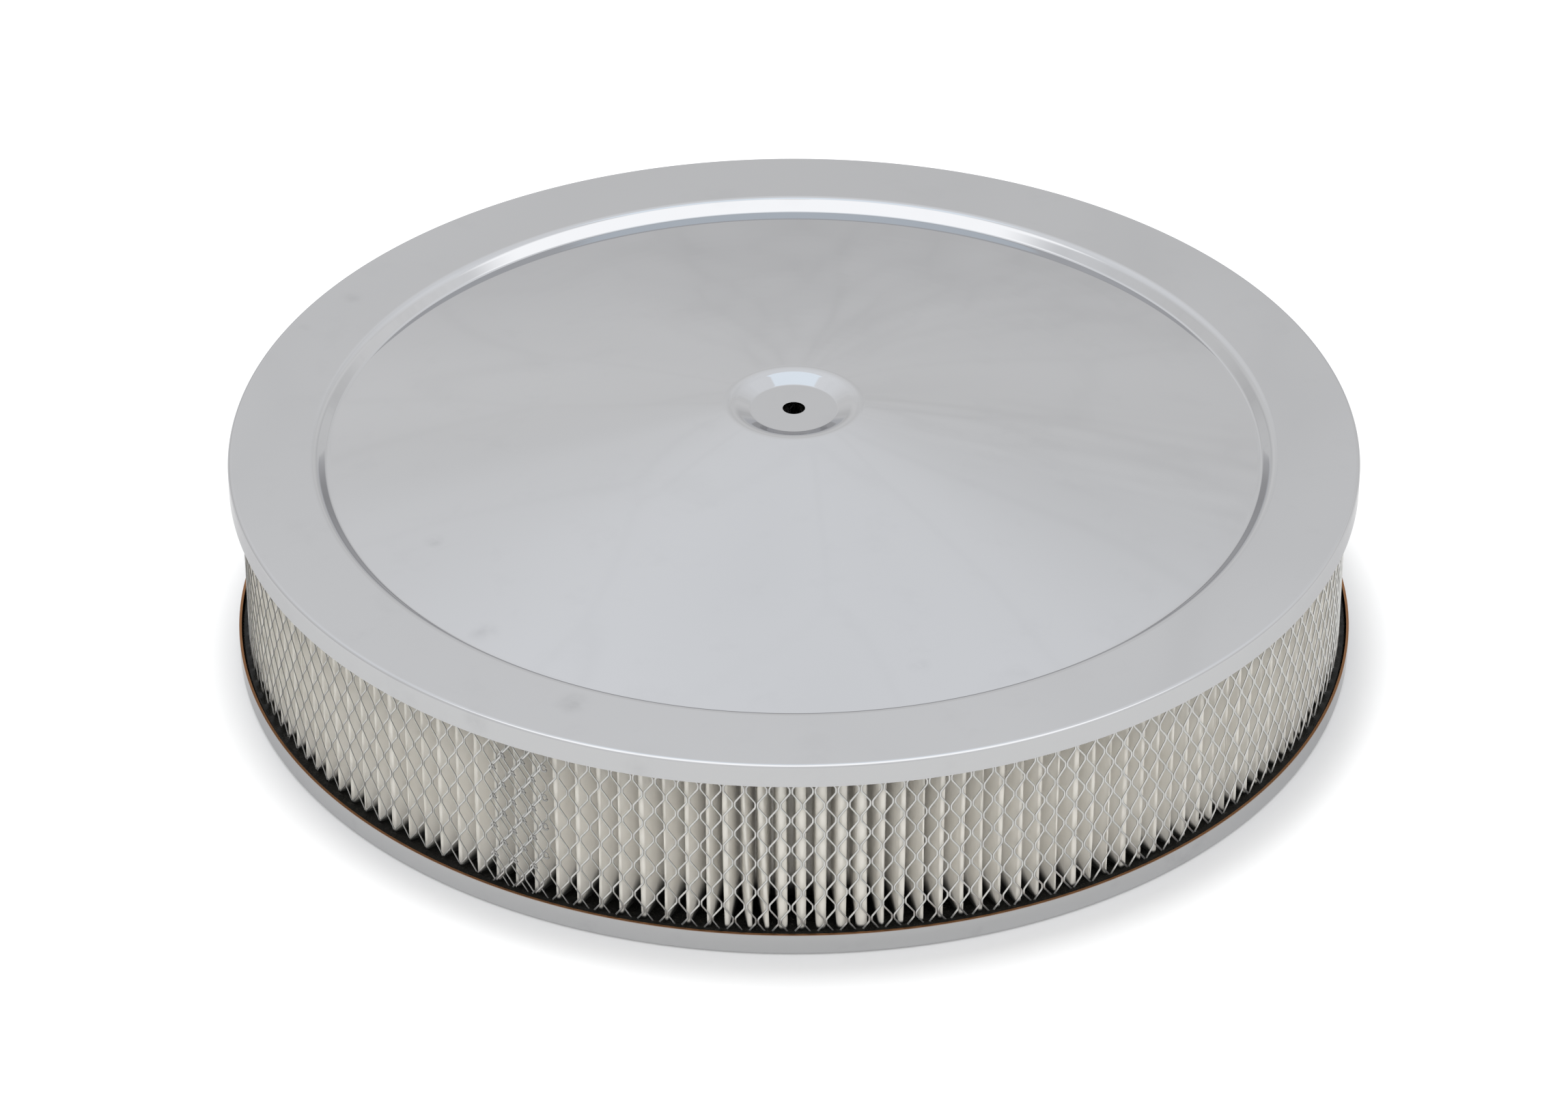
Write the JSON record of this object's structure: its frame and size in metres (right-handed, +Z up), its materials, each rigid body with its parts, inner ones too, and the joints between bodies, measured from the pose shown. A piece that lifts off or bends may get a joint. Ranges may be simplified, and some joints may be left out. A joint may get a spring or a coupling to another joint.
{
  "type": "carburetor air cleaner",
  "caption": "Round open-element air cleaner: chromed lid and base pan clamping a pleated paper filter ring, with a neck and gasket for a carburetor air horn.",
  "frame": {"origin": "on the floor below the stud hole, centre of the bottom of the bounding box", "axes": "+Z up along the stud, out through the lid; X and Y across the pan"},
  "size_m": [0.3556, 0.3556, 0.0827],
  "materials": {
    "lid_chrome": "bright chrome plate on pressed steel sheet",
    "base_chrome": "bright chrome plate on pressed steel sheet",
    "outer_strand": "zinc-coated expanded steel, satin",
    "inner_strand": "zinc-coated expanded steel, satin",
    "filter_paper": "resin-treated cream filter paper, matt",
    "end_seal": "moulded black soft seal, slightly glossy",
    "gasket_rubber": "plain black gasket rubber, matt"
  },
  "bodies": {
    "root": {"lid": "lid_chrome", "base_pan": "base_chrome", "upper_end_seal": "end_seal", "lower_end_seal": "end_seal", "pleated_paper": "filter_paper", "outer_screen": "outer_strand", "inner_screen": "inner_strand", "neck_gasket": "gasket_rubber"}
  },
  "joints": []
}
